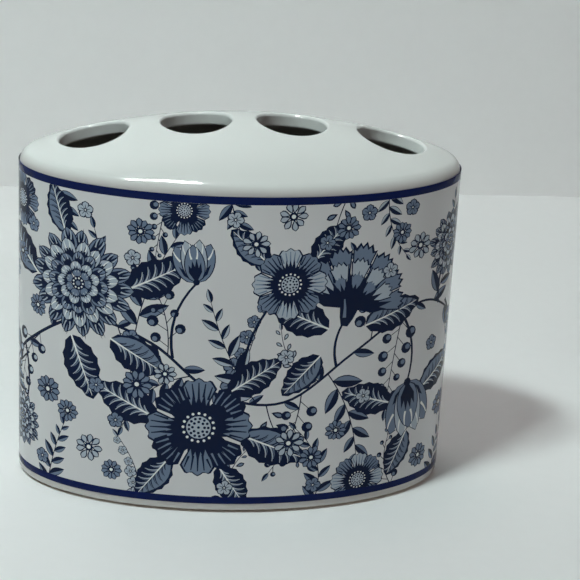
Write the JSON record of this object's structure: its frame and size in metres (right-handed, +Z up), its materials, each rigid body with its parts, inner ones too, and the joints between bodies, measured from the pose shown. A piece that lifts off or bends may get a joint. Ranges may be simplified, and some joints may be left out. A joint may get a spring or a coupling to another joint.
{
  "type": "toothbrush holder",
  "caption": "Oval glazed ceramic holder with an upright wall, a low domed top with round brush holes, printed bands and florals, rubber feet and a drain stopper.",
  "frame": {"origin": "on the shelf, under the middle of the holder", "axes": "+X along the row of brush holes, -Y to the front, +Z up"},
  "size_m": [0.1274, 0.0642, 0.1098],
  "materials": {
    "glazed_ceramic": "gloss, milky white with a faint green cast",
    "navy_print": "navy colour fired under gloss",
    "floral_print": "clear printed sheet fired on, warm white ground under gloss",
    "stopper_rubber": "soft matte, off-white",
    "pad_rubber": "soft matte, grey"
  },
  "bodies": {
    "holder": {"ceramic_body": "glazed_ceramic", "upper_band": "navy_print", "lower_band": "navy_print", "front_print": "floral_print", "back_print": "floral_print", "foot_pad_front_left": "pad_rubber", "foot_pad_front_right": "pad_rubber", "foot_pad_rear_left": "pad_rubber", "foot_pad_rear_right": "pad_rubber"},
    "stopper": {"drain_stopper": "stopper_rubber"}
  },
  "joints": [
    {"name": "stopper_pull", "type": "slide", "parent": "holder", "child": "stopper", "axis": [0, 0, -1], "range_m": [0, 0.012]}
  ]
}
